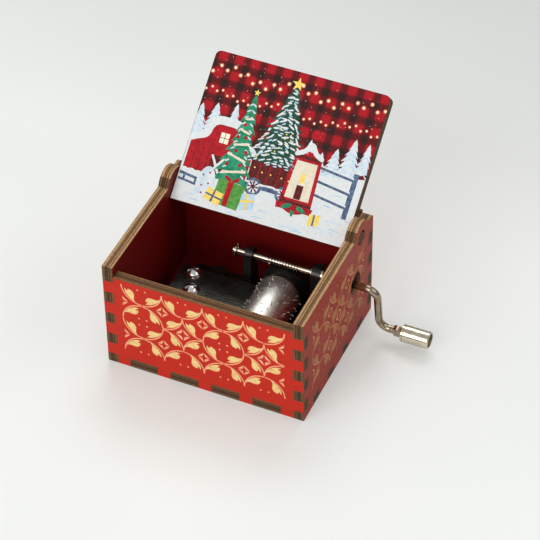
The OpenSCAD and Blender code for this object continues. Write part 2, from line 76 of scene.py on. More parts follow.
# %% [markdown]
# ## Camera, light and floor
#
# A product shot of something this small is taken from about 75 cm away with a
# long lens, so the box shows almost no perspective. The camera could be aimed
# with a constraint, but a plain matrix built from its azimuth, elevation and
# roll is exact and leaves nothing to solve later.

# %% Camera
AIM = Vector((1.8, 17.8, 11.7)) * MM
FAR = 760 * MM
turn, rise, roll = (math.radians(a) for a in (24.549, 43.547, -0.827))
back = Vector((math.sin(turn) * math.cos(rise), -math.cos(turn) * math.cos(rise), math.sin(rise)))
flat_right = Vector((math.cos(turn), math.sin(turn), 0))
flat_up = back.cross(flat_right)
right = math.cos(roll) * flat_right + math.sin(roll) * flat_up
up = -math.sin(roll) * flat_right + math.cos(roll) * flat_up
lens = bpy.data.cameras.new("product_camera")
lens.lens, lens.sensor_width = 165.885, 36
lens.clip_start, lens.clip_end = 0.05, 10
camera = bpy.data.objects.new("product_camera", lens)
bpy.context.scene.collection.objects.link(camera)
camera.matrix_world = Matrix.Translation(AIM + back * FAR) @ Matrix((right, up, back)).transposed().to_4x4()
bpy.context.scene.camera = camera
bpy.context.scene.view_settings.view_transform = "Standard"
print("camera stands at", [round(c, 3) for c in camera.location])

# %% [markdown]
# A white tent open to a dim room lights the box softly from above, and its dim
# rim is what metal reflects as dark lines along its edges. A background of one
# flat colour would be simpler, but it makes nickel look like chalk. Two large
# soft boxes finish it: one high behind, whose shadows fall towards us, and a
# broad one in front. A weak third one fills the shadow on the right.

# %% World and lamps
world = bpy.data.worlds.new("white_tent")
bpy.context.scene.world = world
world.use_nodes = True
tent = world.node_tree
ray = tent.nodes.new("ShaderNodeTexCoord")
height = tent.nodes.new("ShaderNodeSeparateXYZ")
shade = tent.nodes.new("ShaderNodeValToRGB")
tent.links.new(ray.outputs["Generated"], height.inputs["Vector"])
tent.links.new(height.outputs["Z"], shade.inputs["Fac"])
tent.links.new(shade.outputs["Color"], tent.nodes["Background"].inputs["Color"])
levels = ((0.0, 0.10), (0.16, 0.22), (0.34, 0.90), (1.0, 1.0))
for place, _ in levels[1:-1]:
    shade.color_ramp.elements.new(place)
for stop, (_, level) in zip(shade.color_ramp.elements, levels):
    stop.color = (level, level, level * 0.985, 1)
tent.nodes["Background"].inputs["Strength"].default_value = 0.55


def lamp(name, place, power, wide, tall, colour):
    """One soft box, aimed at the music box."""
    data = bpy.data.lights.new(name, "AREA")
    data.shape, data.size, data.size_y = "RECTANGLE", wide, tall
    data.energy, data.color = power, colour
    item = bpy.data.objects.new(name, data)
    bpy.context.scene.collection.objects.link(item)
    item.location = place
    item.rotation_euler = (AIM - Vector(place)).to_track_quat("-Z", "Y").to_euler()


lamp("window_softbox", (-0.15, 0.55, 0.78), 3.0, 0.6, 0.4, (1.0, 1.0, 0.98))
lamp("front_softbox", (-0.22, -0.95, 0.60), 8.3, 1.1, 0.7, (1.0, 0.985, 0.95))
lamp("right_fill", (0.80, 0.15, 0.75), 1.2, 0.7, 0.5, (1.0, 1.0, 1.0))

# %% [markdown]
# ## A short way to write materials
#
# A material is a small network of nodes. Each could be placed by hand in the
# shader editor. Written out, every node needs three or four lines, so these
# helpers shorten one node to one line: `wire` adds a node and fills its
# sockets, `blend_colours` mixes two colours and `steps` is a colour ramp.

# %% Material helpers
def finish(name, colour, roughness, metallic=0.0, **sockets):
    """A new material with one Principled shader. The plain values sit on the shader's own sockets."""
    made = bpy.data.materials.new(name)
    made.use_nodes = True
    made.diffuse_color = (*colour, 1)
    shader = made.node_tree.nodes["Principled BSDF"]
    shader.inputs["Base Color"].default_value = (*colour, 1)
    shader.inputs["Roughness"].default_value = roughness
    shader.inputs["Metallic"].default_value = metallic
    for socket, value in sockets.items():
        shader.inputs[socket.replace("_", " ")].default_value = value
    return made, made.node_tree, shader


def wire(tree, kind, settings=None, **sockets):
    """Adds a node. A socket is given a number, a tuple or another node's output."""
    node = tree.nodes.new("ShaderNode" + kind)
    for key, value in (settings or {}).items():
        setattr(node, key, value)
    for key, value in sockets.items():
        socket = node.inputs[int(key[1:])] if key[1:].isdigit() else node.inputs[key.replace("_", " ")]
        if isinstance(value, bpy.types.NodeSocket):
            tree.links.new(value, socket)
        else:
            socket.default_value = value
    return node


def blend_colours(tree, amount, first, second, mode="MIX"):
    """Mixes two colours, which may be tuples or outputs."""
    first, second = (c if isinstance(c, bpy.types.NodeSocket) else (*c, 1) for c in (first, second))
    settings = {"data_type": "RGBA", "blend_type": mode}
    return wire(tree, "Mix", settings, _0=amount, _6=first, _7=second).outputs[2]


def steps(tree, value, stops):
    """A colour ramp: stops are (place, colour)."""
    node = wire(tree, "ValToRGB", Fac=value)
    while len(node.color_ramp.elements) < len(stops):
        node.color_ramp.elements.new(0.5)
    for element, (place, colour) in zip(node.color_ramp.elements, stops):
        element.position, element.color = place, (*colour, 1)
    return node.outputs["Color"]


def grey(level):
    """The same number three times, for ramps used as numbers."""
    return (level, level, level)


def millimetres(tree, stretch=(1, 1, 1)):
    """Object coordinates in millimetres, stretched if asked."""
    coords = wire(tree, "TexCoord").outputs["Object"]
    scale = tuple(1000 * s for s in stretch)
    return wire(tree, "Mapping", Vector=coords, Scale=scale).outputs["Vector"]


def noise(tree, place, scale, detail, roughness=0.5):
    """Cloudy noise as one number."""
    node = wire(tree, "TexNoise", Vector=place, Scale=scale, Detail=detail, Roughness=roughness)
    return node.outputs["Fac"]


def distance_along(tree, place, direction):
    """How far a point lies along a direction."""
    node = wire(tree, "VectorMath", {"operation": "DOT_PRODUCT"}, _0=place, _1=tuple(direction))
    return node.outputs["Value"]


def arithmetic(tree, operation, *values):
    """One step of arithmetic."""
    sockets = {"_%d" % i: value for i, value in enumerate(values)}
    return wire(tree, "Math", {"operation": operation}, **sockets).outputs["Value"]


def bump(tree, shader, height, strength, depth):
    """Fine relief, depth in metres."""
    node = wire(tree, "Bump", Height=height, Strength=strength, Distance=depth)
    tree.links.new(node.outputs["Normal"], shader.inputs["Normal"])


def link(tree, output, shader, socket):
    tree.links.new(output, shader.inputs[socket])


# %% [markdown]
# The floor is a pale light table. Its colour is painted darker towards the back
# of the tent, a painted shade for the light that falls off there. Its glow lifts
# the shadows. It could be a flat white plane, but a trace of mottling keeps it
# from looking like empty space. It is stage, not part.

# %% Floor
bpy.ops.object.select_all(action="DESELECT")
bpy.ops.mesh.primitive_grid_add(x_subdivisions=8, y_subdivisions=8, size=6, location=(0, 0, cad_box[0].z))
floor = bpy.context.object
floor.name = "floor"
board, tree, shader = finish("pale_board", (0.61, 0.63, 0.62), 0.62,
                             Emission_Color=(0.99, 1.0, 0.98, 1), Emission_Strength=0.23)
cloud = noise(tree, millimetres(tree), 0.012, 2.0)
mottled = steps(tree, cloud, [(0.3, (0.60, 0.62, 0.61)), (0.7, (0.63, 0.65, 0.64))])
depth = wire(tree, "SeparateXYZ", Vector=millimetres(tree)).outputs["Y"]
# painted shade: the floor's colour darkens towards the back, standing in for the light falling off there
nearness = wire(tree, "MapRange", Value=depth, From_Min=190.0, From_Max=-90.0).outputs["Result"]
painted_falloff_shade = steps(tree, nearness, [(0.0, grey(0.66)), (0.45, grey(0.93)), (1.0, grey(1.0))])
link(tree, blend_colours(tree, 1.0, mottled, painted_falloff_shade, "MULTIPLY"), shader, "Base Color")
floor.data.materials.append(board)
print("floor at z", round(cad_box[0].z, 5))

# %% [markdown]
# ## Plywood, three ways
#
# The panels are laser cut from printed plywood. A cut edge shows the plies as
# stripes, scorched brown by the beam, and the stripes always run parallel to
# the sheet. So the edge material needs one number: how deep a point lies
# between the two faces. A dot product of the position with the sheet's own
# direction gives it, which works for a panel in any position. The printed face
# is satin red ink over sanded wood, and engraving bares pale wood again.

# %% Scorched ply edge
EDGE_TONES = ((0.165, 0.080, 0.033), (0.080, 0.038, 0.017), (0.018, 0.008, 0.004))
WOBBLE = 0.22


def ply_edge(name, direction, outer, thick, tones=EDGE_TONES):
    """Stripes of veneer, core and glue. outer is how far along direction the printed face lies, in metres."""
    made, tree, shader = finish(name, (0.12, 0.06, 0.03), 0.75, Specular_IOR_Level=0.25)
    place = millimetres(tree)
    run = distance_along(tree, place, direction)
    shaken = arithmetic(tree, "MULTIPLY_ADD", noise(tree, place, 0.55, 3.0), WOBBLE, run)
    first, last = (outer - thick) / MM + WOBBLE / 2, outer / MM + WOBBLE / 2
    depth = wire(tree, "MapRange", Value=shaken, From_Min=first, From_Max=last).outputs["Result"]
    veneer, core, glue = tones
    plies = steps(tree, depth, [
        (0.00, glue), (0.05, veneer), (0.20, veneer), (0.24, glue), (0.29, core),
        (0.36, veneer), (0.45, core), (0.50, glue), (0.55, core), (0.66, core),
        (0.70, glue), (0.75, veneer), (0.93, veneer), (1.00, glue)])
    grain = noise(tree, millimetres(tree, (1.6, 1.6, 1.6)), 1.0, 6.0, 0.7)
    soot = steps(tree, grain, [(0.32, grey(0.50)), (0.52, grey(0.90)), (0.72, grey(1.25))])
    scorched = blend_colours(tree, 1.0, plies, soot, "MULTIPLY")
    link(tree, scorched, shader, "Base Color")
    bump(tree, shader, grain, 0.5, 0.00008)
    return made


print("ply edge is one material per direction")


# %% [markdown]
# Ink on wood is nearly flat in colour, but not quite. The grain shows through
# as faint streaks, and the ink lies in it as a fine relief that breaks up the
# shine. Streaks are stretched noise, which is cheaper than a drawn grain.

# %% Printed faces and bare wood
WARM = (1.0, 0.74, 0.44, 1.0)


def inked(name, colour, grain_along, roughness=0.36, gloss=0.22):
    """Satin ink over a sanded face, with the grain running along one axis."""
    made, tree, shader = finish(name, colour, roughness, Specular_IOR_Level=gloss, Specular_Tint=WARM)
    stretch = tuple(0.12 if i == grain_along else 2.4 for i in range(3))
    streak = noise(tree, millimetres(tree, stretch), 1.0, 5.0, 0.6)
    cloud = noise(tree, millimetres(tree), 0.09, 2.0)
    darker, lighter = tuple(c * 0.86 for c in colour), tuple(min(1, c * 1.10) for c in colour)
    tone = steps(tree, streak, [(0.3, darker), (0.7, lighter)])
    link(tree, blend_colours(tree, cloud, tone, darker), shader, "Base Color")
    dullness = steps(tree, streak, [(0.2, grey(roughness - 0.05)), (0.8, grey(roughness + 0.1))])
    link(tree, dullness, shader, "Roughness")
    bump(tree, shader, streak, 0.18, 0.00004)
    return made


def lasered(name, colour):
    """The floor of an engraved groove: pale wood combed by the beam's passes, scorched in patches."""
    made, tree, shader = finish(name, colour, 0.8)
    rows = wire(tree, "TexWave", {"bands_direction": "Z"}, Vector=millimetres(tree),
                Scale=0.9, Distortion=0.6, Detail=1.0).outputs["Fac"]
    patch = noise(tree, millimetres(tree), 0.8, 4.0)
    toasted = tuple(c * f for c, f in zip(colour, (0.72, 0.6, 0.45)))
    pale = blend_colours(tree, steps(tree, patch, [(0.45, grey(0.0)), (0.75, grey(0.7))]), colour, toasted)
    seared = steps(tree, rows, [(0.0, grey(0.35)), (1.0, grey(0.0))])
    link(tree, blend_colours(tree, seared, pale, toasted), shader, "Base Color")
    bump(tree, shader, rows, 0.4, 0.00003)
    return made


# SHADED_SIDE_RED is the front's red ink painted darker: a painted shade for the side walls, which face away
# from the light.
RED, SHADED_SIDE_RED = (0.53, 0.016, 0.007), (0.34, 0.022, 0.006)
scorch, tree, shader = finish("scorch_line", (0.17, 0.05, 0.025), 0.8)
char = noise(tree, millimetres(tree), 2.2, 3.0)
link(tree, steps(tree, char, [(0.35, (0.09, 0.03, 0.018)), (0.65, (0.26, 0.09, 0.04))]), shader, "Base Color")
bared = lasered("engraved_wood", (0.87, 0.63, 0.27))
bared_line = lasered("engraved_line", (0.90, 0.45, 0.27))
# The side walls' engraving uses darker copies of the bared wood: a painted shade, the same pale cut wood
# drawn as if in shadow.
shaded_leaf_cut = lasered("shaded_leaf_wood", (0.46, 0.21, 0.085))
shaded_line_cut = lasered("shaded_line_cut", (0.72, 0.36, 0.19))
# The inner faces carry the red ink twice over: a dark copy that is painted shade for the inside of the box,
# and on the right wall a brighter copy that is painted light, so the drum shows a red reflection of it.
shaded_inside_red = inked("shaded_inside_ink", (0.17, 0.004, 0.005), 2, 0.5)
lit_inside_red = inked("lit_inside_ink", (0.50, 0.012, 0.008), 1, 0.5)
print("engraved finishes:", [made.name for made in (bared, bared_line, shaded_leaf_cut, shaded_line_cut, scorch)])
print("inside finishes:", shaded_inside_red.name, lit_inside_red.name)

# %% [markdown]
# ## The engraved scroll
#
# The ornament is a net of circles. Circles stand in columns 13 mm apart and in
# three rows 13.5 mm apart, the outer rows cut in half. Every quarter turn of
# every circle carries one leaf, and all leaves follow the stem the same way
# round. In each second column the middle circle is left out, and the quarter
# turns of its four neighbours close up into a star-sided diamond instead. So
# the whole pattern is a list of quarter turns, and each is drawn the same way.
#
# The shapes are flat curves. They could be drawn with the pen by hand, but a
# leaf told as angle and distance from its circle's centre can be set down in
# any quarter without being turned.

# %% Drawing the scroll
PITCH, ROW, RING, STEM, DOT = 13.0, 13.5, 6.5, 0.45, 0.36
WALL_MIDDLE, LID_MIDDLE = 20.5, 18.8
LEAF = [(73, 6.45, 1), (57, 6.2, 0), (38, 6.05, 0), (24, 5.9, 0), (11, 5.6, 1), (26, 5.0, 1),
        (17, 4.5, 0), (22, 3.8, 0), (33, 3.4, 0), (46, 3.55, 0), (56, 4.3, 0), (61, 5.25, 0), (67, 5.9, 0)]


def quarter_turns(columns, middle=WALL_MIDDLE):
    """Quarter turns as (circle centre x, centre z, quadrant), in five groups whose stems never touch."""
    groups = [[], [], [], [], []]
    for i in range(columns):
        x = (i - (columns - 1) / 2) * PITCH
        groups[i % 2] += [(x, middle + ROW, q) for q in (2, 3)] + [(x, middle - ROW, q) for q in (0, 1)]
        if i % 2 == 0:
            groups[4] += [(x, middle, q) for q in range(4)]
        else:
            h, v = PITCH / 2, ROW / 2
            groups[2] += [(x - h, middle + v, 3), (x + h, middle - v, 1)]
            groups[3] += [(x + h, middle + v, 2), (x - h, middle - v, 0)]
    return groups


def polar(x, z, degrees, radius):
    return (x + radius * math.cos(math.radians(degrees)), z + radius * math.sin(math.radians(degrees)))


def leaf_outline(x, z, quadrant):
    return [(*polar(x, z, 90 * quadrant + a, r), sharp) for a, r, sharp in LEAF]


def stem_outline(x, z, quadrant):
    sweep = [90 * quadrant + 1 + 88 * k / 14 for k in range(15)]
    outside = [(*polar(x, z, a, RING + STEM / 2), 1) for a in sweep]
    return outside + [(*polar(x, z, a, RING - STEM / 2), 1) for a in reversed(sweep)]


def dot_outline(x, z):
    return [(*polar(x, z, 60 * k, DOT), 1) for k in range(6)]


def rosette_petals(x, z, half, sides=range(4)):
    """A diamond ring in four petals round a four-pointed star of uncut ink."""
    shape = [(0.96, 0.07), (0.07, 0.96), (0.07, 0.58), (0.23, 0.23), (0.58, 0.07)]
    petals = []
    for q in sides:
        c, s = round(math.cos(q * math.pi / 2)), round(math.sin(q * math.pi / 2))
        petals.append([(x + half * (a * c - b * s), z + half * (a * s + b * c), 1) for a, b in shape])
    return petals


print("quarter turns on the front:", [len(group) for group in quarter_turns(4)], "leaf points:", len(LEAF))


# %% [markdown]
# Rosettes sit where four circles meet, diamonds get a larger one, and small
# dots fill what is left. At the pattern's two ends only the inner half of a
# rosette is cut.

# %% Small ornaments
def small_ornaments(columns, middle=WALL_MIDDLE):
    """Returns petals and dots as outlines."""
    petals, dots = [], []
    edge = columns * PITCH / 2
    for level in (middle + ROW / 2, middle - ROW / 2):
        for i in range(columns + 1):
            x = -edge + i * PITCH
            sides = (0, 3) if i == 0 else (1, 2) if i == columns else range(4)
            petals += rosette_petals(x, level, 2.05, sides)
    for i in range(columns):
        x = (i - (columns - 1) / 2) * PITCH
        dots += [dot_outline(x + s * 1.25, middle + ROW - 0.7) for s in (-1, 1)]
        dots += [dot_outline(x + s * 1.25, middle - ROW + 0.7) for s in (-1, 1)]
        if i % 2 == 0:
            dots += [dot_outline(x + s * 1.25, middle + t * 1.25) for s in (-1, 1) for t in (-1, 1)]
        else:
            petals += rosette_petals(x, middle, 2.4)
    return petals, dots


print("petals and dots on the front:", [len(part) for part in small_ornaments(4)])


# %% [markdown]
# ## From flat drawing to cut wood
#
# A drawing becomes a cutter in three steps: a closed curve is filled, given
# depth, and converted to a mesh. Then it is laid against its panel by a matrix
# whose columns are the panel's right, up and outward directions. The groove
# could be faked with a bump, but a real cut catches light on its walls, and
# each new face can take its own material.

# %% Curves to meshes
def pick(*items):
    """Selects only these and makes the first active."""
    bpy.ops.object.select_all(action="DESELECT")
    for item in items:
        item.select_set(True)
    bpy.context.view_layer.objects.active = items[0]


def flat_shape(name, outlines, top, thick, placed=Matrix.Identity(4)):
    """Filled outlines, thick metres deep, with their front at top. Points are (x, y, sharp) in mm."""
    curve = bpy.data.curves.new(name, "CURVE")
    curve.dimensions, curve.fill_mode, curve.extrude, curve.resolution_u = "2D", "BOTH", thick / 2, 3
    for outline in outlines:
        spline = curve.splines.new("BEZIER")
        spline.bezier_points.add(len(outline) - 1)
        spline.use_cyclic_u = True
        for point, (x, y, sharp) in zip(spline.bezier_points, outline):
            point.co = (x * MM, y * MM, 0)
            point.handle_left_type = point.handle_right_type = "VECTOR" if sharp else "AUTO"
    item = bpy.data.objects.new(name, curve)
    bpy.context.scene.collection.objects.link(item)
    pick(item)
    bpy.ops.object.convert(target="MESH")
    item = bpy.context.object
    item.data.transform(placed @ Matrix.Translation((0, 0, top - thick / 2)))
    bpy.ops.object.mode_set(mode="EDIT")
    bpy.ops.mesh.select_all(action="SELECT")
    bpy.ops.mesh.remove_doubles(threshold=1e-7)
    bpy.ops.mesh.normals_make_consistent(inside=False)
    bpy.ops.object.mode_set(mode="OBJECT")
    return item


def stand_against(origin, rightward, upward):
    """The matrix that lays a drawing on a panel seen from outside."""
    outward = Vector(rightward).cross(Vector(upward))
    made = Matrix((Vector(rightward), Vector(upward), outward)).transposed().to_4x4()
    made.translation = origin
    return made


print("flat shapes are cut from curves")


# %% [markdown]
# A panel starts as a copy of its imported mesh, which is loose triangles. They
# are merged and their flat runs dissolved, so that a bevel finds only the true
# edges. The bevel is 0.07 mm, about what a laser leaves, and its faces take
# the scorch material: that is the thin dark outline round every finger.

# %% Rebuilding a panel
GROOVE, LASER_EDGE, PROUD = 0.14 * MM, 0.07 * MM, 0.2 * MM
SCORES = ((0, 2.9, 10), (1, 3.1, 7))
FACE, LEAF_CUT, LINE_CUT, BEVEL, INNER, EDGE, RIM = range(7)
FLAT, UPRIGHT = 0.95, 0.2


def panel_blank(node, name, placed=None):
    """A merged, lightly bevelled copy of a packed panel, its broad faces scored into small fields."""
    piece = bpy.data.objects.new(name, NODES[node].data.copy())
    bpy.context.scene.collection.objects.link(piece)
    piece.data.materials.clear()
    pick(piece)
    bpy.ops.object.mode_set(mode="EDIT")
    bpy.ops.mesh.select_all(action="SELECT")
    bpy.ops.mesh.remove_doubles(threshold=2e-6)
    bpy.ops.mesh.dissolve_limited(angle_limit=math.radians(0.5))
    bpy.ops.object.mode_set(mode="OBJECT")
    edge = piece.modifiers.new("laser_edge", "BEVEL")
    edge.width, edge.segments = LASER_EDGE, 1
    edge.limit_method, edge.angle_limit = "ANGLE", math.radians(50)
    bpy.ops.object.modifier_apply(modifier=edge.name)
    if placed is None:
        return piece
    bpy.ops.object.mode_set(mode="EDIT")
    for column, spacing, count in SCORES:
        line = placed.col[column].xyz
        raised = placed.col[1].xyz * (WALL_MIDDLE * MM if column else 0)
        for k in range(-count, count + 1):
            bpy.ops.mesh.select_all(action="SELECT")
            level = placed.translation + line * ((k + 0.37) * spacing * MM) + raised
            bpy.ops.mesh.bisect(plane_co=level, plane_no=line)
    bpy.ops.object.mode_set(mode="OBJECT")
    return piece


def carve_scroll(piece, placed, columns, middle):
    """Cuts leaves, ornaments and stems, each a little deeper. Shapes of one cut lie clear of each other."""
    groups = quarter_turns(columns, middle)
    petals, dots = small_ornaments(columns, middle)
    drawings = [[leaf_outline(*t) for group in groups for t in group], petals + dots]
    drawings += [[stem_outline(*t) for t in group] for group in groups]
    for number, outlines in enumerate(drawings):
        thick = PROUD + GROOVE * (1 + 0.02 * number)
        cutter = flat_shape("cutter_%d" % number, outlines, PROUD, thick, placed)
        pick(piece)
        cut = piece.modifiers.new("groove", "BOOLEAN")
        cut.operation, cut.solver, cut.object = "DIFFERENCE", "MANIFOLD", cutter
        bpy.ops.object.modifier_apply(modifier=cut.name)
        bpy.data.objects.remove(cutter)


def lay_finishes(piece, placed, thick, finishes):
    """Gives each face its material by place. Leaves are the shallowest cuts, so depth tells them apart."""
    pick(piece)
    bpy.ops.object.shade_smooth_by_angle(angle=math.radians(30))
    piece.data.materials.clear()
    for made in finishes:
        piece.data.materials.append(made)
    out = placed.to_3x3() @ Vector((0, 0, 1))
    counts = [0] * len(finishes)
    for face in piece.data.polygons:
        depth = -out.dot(face.center - placed.translation)
        lean = out.dot(face.normal)
        if lean > FLAT:
            kind = FACE if depth < 0.03 * MM else LEAF_CUT if depth < GROOVE * 1.01 else LINE_CUT
        elif lean < -FLAT:
            kind = INNER
        elif abs(lean) > UPRIGHT:
            kind = BEVEL
        elif depth < GROOVE * 1.1:
            kind = LINE_CUT
        else:
            # Upward-facing edges take the rim material, whose paler stripes are a painted highlight.
            kind = RIM if face.normal.z > 0.8 and len(finishes) > RIM else EDGE
        face.material_index = kind
        face.use_smooth = kind in (EDGE, RIM)
        counts[kind] += 1
    return counts


print("groove depth in mm:", GROOVE / MM)

# %% [markdown]
# ## The four walls
#
# Each wall is listed once: which way is right and up on it, how many columns
# of scroll it carries, and which way its edge stripes run. The two side walls
# have three columns, and their scroll breaks off at the crank's hole.

# %% Walls
low = {n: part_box(n)[0] for n in NODES}
high = {n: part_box(n)[1] for n in NODES}
PLY = high["front_panel"].y - low["front_panel"].y
WALLS = {
    "front_panel": ((0, low["front_panel"].y, 0), (1, 0, 0), 4),
    "back_panel": ((0, high["back_panel"].y, 0), (-1, 0, 0), 4),
    "right_side_panel": ((high["right_side_panel"].x, 0, 0), (0, 1, 0), 3),
    "left_side_panel": ((low["left_side_panel"].x, 0, 0), (0, -1, 0), 3),
}
# Top-facing edges get paler copies of the ply stripes, a painted highlight for light falling from above; the
# side walls' tops are painted lightest.
RIM_HIGHLIGHT_TONES = {4: ((0.235, 0.112, 0.042), (0.112, 0.050, 0.020), (0.032, 0.012, 0.005)),
             3: ((0.50, 0.300, 0.140), (0.22, 0.110, 0.045), (0.065, 0.028, 0.012))}


def engrave(node, name, placed, columns, middle, ink):
    """Blank, scroll, finishes, and its place on the frame."""
    piece = panel_blank(node, name, placed)
    carve_scroll(piece, placed, columns, middle)
    out = placed.to_3x3() @ Vector((0, 0, 1))
    edge = ply_edge(name + "_edge", out, out.dot(placed.translation), PLY)
    rim_highlight = ply_edge(name + "_rim", out, out.dot(placed.translation), PLY, RIM_HIGHLIGHT_TONES[columns])
    # Side walls take the darker, painted-shade copies of the engraved wood.
    leaves, lines = (bared, bared_line) if columns == 4 else (shaded_leaf_cut, shaded_line_cut)
    # Inner faces get the dark painted-shade red, the right wall the brighter painted-light red.
    within = lit_inside_red if node == "right_side_panel" else shaded_inside_red
    counts = lay_finishes(piece, placed, PLY, [ink, leaves, lines, scorch, within, edge, rim_highlight])
    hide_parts(node)
    print(name, "faces printed, leaf, line, bevel, inner, edge, rim:", counts)
    return piece


for node, (origin, rightward, columns) in WALLS.items():
    placed = stand_against(Vector(origin), rightward, (0, 0, 1))
    # The side walls get a darker copy of the red ink, a painted shade.
    ink = inked(node + "_ink", RED, 0) if columns == 4 else inked(node + "_ink", SHADED_SIDE_RED, 1, gloss=0.07)
    wall = engrave(node, "printed_" + node, placed, columns, WALL_MIDDLE, ink)
    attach(wall, "case")

# %% [markdown]
# ## The bottom
#
# The bottom panel is bare plywood outside and red inside, with its fingers
# showing in the walls as little striped windows. It needs no cutting, only the
# same merge, bevel and finishes as its neighbours. Its screws' countersinks
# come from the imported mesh.

# %% Bottom panel
def bare_wood(name, grain_along):
    """Sanded birch face: long pale grain with a few darker streaks."""
    made, tree, shader = finish(name, (0.50, 0.34, 0.19), 0.66)
    stretch = tuple(0.08 if i == grain_along else 1.6 for i in range(3))
    grain = noise(tree, millimetres(tree, stretch), 1.0, 6.0, 0.65)
    tone = steps(tree, grain, [
        (0.25, (0.34, 0.20, 0.10)), (0.48, (0.52, 0.35, 0.19)), (0.75, (0.60, 0.43, 0.26))])
    link(tree, tone, shader, "Base Color")
    bump(tree, shader, grain, 0.3, 0.00005)
    return made


placed = stand_against(Vector((0, 0, low["bottom_panel"].z)), (1, 0, 0), (0, -1, 0))
base = panel_blank("bottom_panel", "bottom_board")
edge = ply_edge("bottom_board_edge", (0, 0, -1), -low["bottom_panel"].z, PLY)
wood = bare_wood("bottom_face", 0)
# Its inner face takes the dark painted-shade red of the walls.
counts = lay_finishes(base, placed, PLY, [wood, bared, bared_line, scorch, shaded_inside_red, edge])
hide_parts("bottom_panel")
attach(base, "case")
print("bottom board faces:", counts)

# %% [markdown]
# ## The lid
#
# The lid stands open, so its own directions are read from its mesh: the widest
# faces give the outward direction, and the hinge gives the line it turns on.
# Its outer face carries the same scroll as the walls. The face that looks at
# us is printed with a winter scene of our own: a check cloth behind, fairy
# lights, snowy firs, a barn, presents, a lantern and a fence.

# %% Lid directions
hinge = next(j for j in frame["joints"] if j["name"] == "lid_hinge")
HINGE = Vector(hinge["pos_m"])
widest = max(NODES["lid_panel"].data.polygons, key=lambda f: f.area)
print_side = widest.normal.copy() if widest.normal.z > 0 else -widest.normal
away = Vector((1, 0, 0)).cross(print_side)
away = away if away.z > 0 else -away
inner = Matrix((Vector((1, 0, 0)), away, print_side)).transposed().to_4x4()
inner.translation = HINGE + print_side * PLY / 2
outer = Matrix((Vector((-1, 0, 0)), away, -print_side)).transposed().to_4x4()
outer.translation = HINGE - print_side * PLY / 2
reach = [away.dot(v.co - HINGE) / MM for v in NODES["lid_panel"].data.vertices]
print("lid runs from", round(min(reach), 2), "to", round(max(reach), 2), "mm along its length")

# %% [markdown]
# The cloth check is two sets of bands crossing. Where both cross the colour is
# darkest, where neither does it is bright red. Two rounded square waves, one
# across and one along the lid, are added up and sent through a colour ramp.
# The pattern reads the lid's own directions by dot product, like the plies.

# %% Check cloth print
SQUARE = 5.25


def check_cloth(name, across, along):
    """Printed check of dark and bright squares."""
    made, tree, shader = finish(name, (0.35, 0.01, 0.015), 0.42, Specular_IOR_Level=0.12)
    place = millimetres(tree)
    bands = []
    for direction, shift in ((across, 0.9), (along, 2.4)):
        run = distance_along(tree, place, direction)
        turned = arithmetic(tree, "MULTIPLY_ADD", run, 2 * math.pi / SQUARE, shift)
        band = wire(tree, "MapRange", {"interpolation_type": "SMOOTHSTEP"},
                    Value=arithmetic(tree, "SINE", turned), From_Min=-0.75, From_Max=0.45)
        bands.append(band.outputs["Result"])
    halved = arithmetic(tree, "MULTIPLY", arithmetic(tree, "ADD", *bands), 0.5)
    cloth = steps(tree, halved, [
        (0.0, (0.032, 0.012, 0.012)), (0.5, (0.115, 0.009, 0.011)), (1.0, (0.41, 0.009, 0.017))])
    fleck = noise(tree, place, 5.0, 2.0)
    soft = steps(tree, fleck, [(0.3, grey(0.78)), (0.7, grey(1.18))])
    link(tree, blend_colours(tree, 1.0, cloth, soft, "MULTIPLY"), shader, "Base Color")
    bump(tree, shader, fleck, 0.1, 0.00002)
    return made


lid = panel_blank("lid_panel", "printed_lid_panel", outer)
carve_scroll(lid, outer, 4, LID_MIDDLE)
lid_edge = ply_edge("lid_edge", -print_side, -print_side.dot(outer.translation), PLY)
lid_ink = inked("lid_ink", RED, 0)
cloth = check_cloth("check_cloth", (1, 0, 0), away)
counts = lay_finishes(lid, outer, PLY, [lid_ink, bared, bared_line, scorch, cloth, lid_edge])
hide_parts("lid_panel")
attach(lid, "lid")
print("lid faces printed, leaf, line, bevel, cloth, edge:", counts)

# %% [markdown]
# ## The winter print
#
# Printed artwork is ink a few thousandths of a millimetre thick. An image would
# be the usual way, but flat shapes stay crisp at any size and need no file. Each
# motif is a stack of thin leaves of ink, laid by the lid's own directions. The
# stack stays under 0.04 mm, so the lid can still shut on the case's rim. Shapes
# that overlap are sorted into levels one thousandth of a millimetre apart.

# %% Laying ink
SIDE, LOWEST, HIGHEST = 28.3, -4.7, 42.2
THOUSANDTH, INK = 0.001 * MM, 0.05 * MM
random.seed(12)


def inks(name, colour, second, size):
    """Two mottled tones, as in a watercolour print. size is in millimetres."""
    made, tree, shader = finish(name, colour, 0.42, Specular_IOR_Level=0.12)
    wash = noise(tree, millimetres(tree), 1 / size, 4.0, 0.6)
    link(tree, steps(tree, wash, [(0.40, colour), (0.62, second)]), shader, "Base Color")
    return made


def keep_apart(outlines):
    """Sorts outlines into levels in which no two overlap, judged by their boxes."""
    levels = []
    for outline in outlines:
        xs, ys = [p[0] for p in outline], [p[1] for p in outline]
        span = (min(xs) - 0.05, max(xs) + 0.05, min(ys) - 0.05, max(ys) + 0.05)
        for level in levels:
            if all(span[0] > o[1] or span[1] < o[0] or span[2] > o[3] or span[3] < o[2] for _, o in level):
                level.append((outline, span))
                break
        else:
            levels.append([(outline, span)])
    return [[outline for outline, _ in level] for level in levels]


